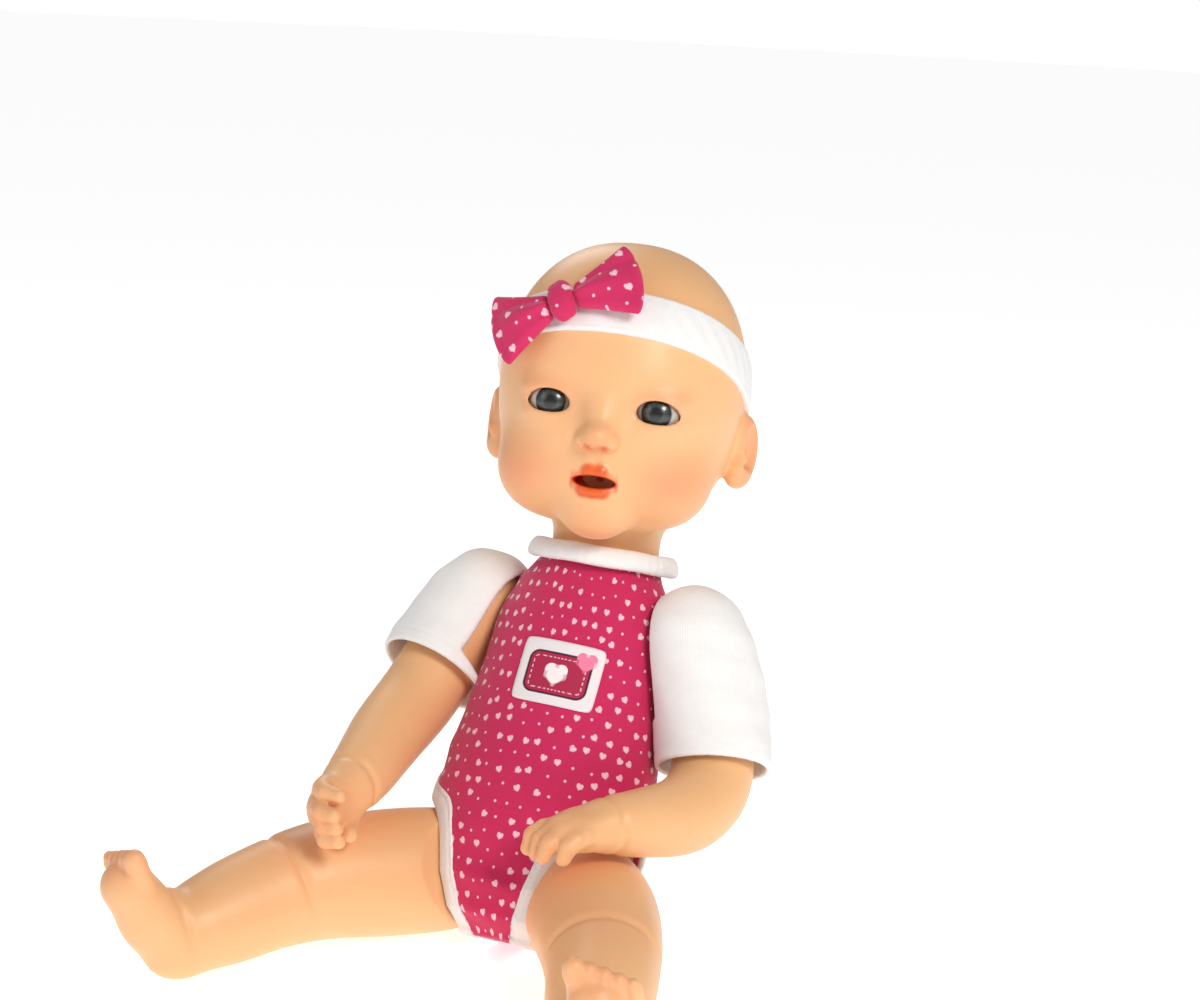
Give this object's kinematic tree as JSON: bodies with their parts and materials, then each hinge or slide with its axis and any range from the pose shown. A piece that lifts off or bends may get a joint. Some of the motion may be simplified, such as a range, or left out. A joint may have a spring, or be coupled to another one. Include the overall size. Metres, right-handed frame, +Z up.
{
  "type": "interactive baby doll",
  "caption": "Sitting baby doll with sleeping eyes, open mouth with feeding sensor, turning head and limbs, heart-print bodysuit, headband and bow.",
  "frame": {"origin": "on the resting plane, in the bodysuit's flat seat, on the doll's middle plane", "axes": "+Z up, the doll faces -Y, +X is the doll's left side"},
  "size_m": [0.1728, 0.2061, 0.2206],
  "materials": {
    "vinyl": "soft satin",
    "lips": "satin",
    "crimson": "printed knit",
    "white_cloth": "jersey",
    "label": "woven",
    "casing": "satin",
    "dark_plastic": "satin",
    "steel": "plain",
    "cell": "gloss",
    "board": "solder mask",
    "grey_plastic": "satin",
    "eye_white": "polished",
    "iris": "polished"
  },
  "bodies": {
    "torso": {"torso_front_casing": "casing", "torso_back_casing": "casing", "casing_screw_1": "steel", "casing_screw_2": "steel", "casing_screw_3": "steel", "casing_screw_4": "steel", "battery_tray": "dark_plastic", "battery_1": "cell", "battery_2": "cell", "battery_contact_top": "steel", "battery_contact_bottom": "steel", "battery_door": "casing", "circuit_board": "board", "sound_chip": "dark_plastic", "speaker": "dark_plastic", "neck_post": "casing", "switch_housing": "dark_plastic", "bodysuit": "crimson", "neck_binding": "white_cloth", "leg_binding_left": "white_cloth", "leg_binding_right": "white_cloth", "chest_label": "label"},
    "head": {"head_shell": "vinyl", "mouth_cup": "lips", "mouth_sensor_housing": "dark_plastic", "headband": "white_cloth", "bow_knot": "crimson", "bow_loop_left": "crimson", "bow_loop_right": "crimson", "eye_left_holder": "dark_plastic", "eye_right_holder": "dark_plastic"},
    "eye_left": {"eye_left_ball": "eye_white", "eye_left_iris": "iris", "eye_left_lid": "vinyl", "eye_left_weight": "steel"},
    "eye_right": {"eye_right_ball": "eye_white", "eye_right_iris": "iris", "eye_right_lid": "vinyl", "eye_right_weight": "steel"},
    "arm_left": {"arm_left": "vinyl", "sleeve_left": "white_cloth"},
    "arm_right": {"arm_right": "vinyl", "sleeve_right": "white_cloth"},
    "leg_left": {"leg_left": "vinyl"},
    "leg_right": {"leg_right": "vinyl"},
    "mouth_plunger": {"mouth_plunger": "lips"},
    "power_switch": {"switch_knob": "grey_plastic"}
  },
  "joints": [
    {"name": "head_turn", "type": "hinge", "parent": "torso", "child": "head", "pos_m": [0, 0.04545, 0.11561], "axis": [0, 0.1392, 0.9903], "range_deg": [-95, 60]},
    {"name": "eye_left_blink", "type": "hinge", "parent": "head", "child": "eye_left", "pos_m": [0.02552, 0.02758, 0.16912], "axis": [0.9511, 0.306, -0.043], "range_deg": [0, 64]},
    {"name": "eye_right_blink", "type": "hinge", "parent": "head", "child": "eye_right", "pos_m": [-0.00587, 0.01748, 0.17054], "axis": [0.9511, 0.306, -0.043], "range_deg": [0, 64]},
    {"name": "arm_left_swing", "type": "hinge", "parent": "torso", "child": "arm_left", "pos_m": [0.02739, 0.03643, 0.09535], "axis": [-0.9781, -0.0846, -0.1899], "range_deg": [-2, 88]},
    {"name": "arm_right_swing", "type": "hinge", "parent": "torso", "child": "arm_right", "pos_m": [-0.02739, 0.03643, 0.09535], "axis": [-0.9781, 0.0846, 0.1899], "range_deg": [-2, 76]},
    {"name": "leg_left_swing", "type": "hinge", "parent": "torso", "child": "leg_left", "pos_m": [0.022, -0.002, 0.02], "axis": [-0.9613, 0, 0.2756], "range_deg": [-80, 2]},
    {"name": "leg_right_swing", "type": "hinge", "parent": "torso", "child": "leg_right", "pos_m": [-0.022, -0.002, 0.02], "axis": [-0.9613, 0, -0.2756], "range_deg": [-80, 2]},
    {"name": "mouth_press", "type": "slide", "parent": "head", "child": "mouth_plunger", "axis": [-0.309, 0.9418, -0.1324], "range_m": [0, 0.002], "stiffness_N_per_m": 200},
    {"name": "power_slide", "type": "slide", "parent": "torso", "child": "power_switch", "axis": [1, 0, 0], "range_m": [0, 0.0032]}
  ]
}
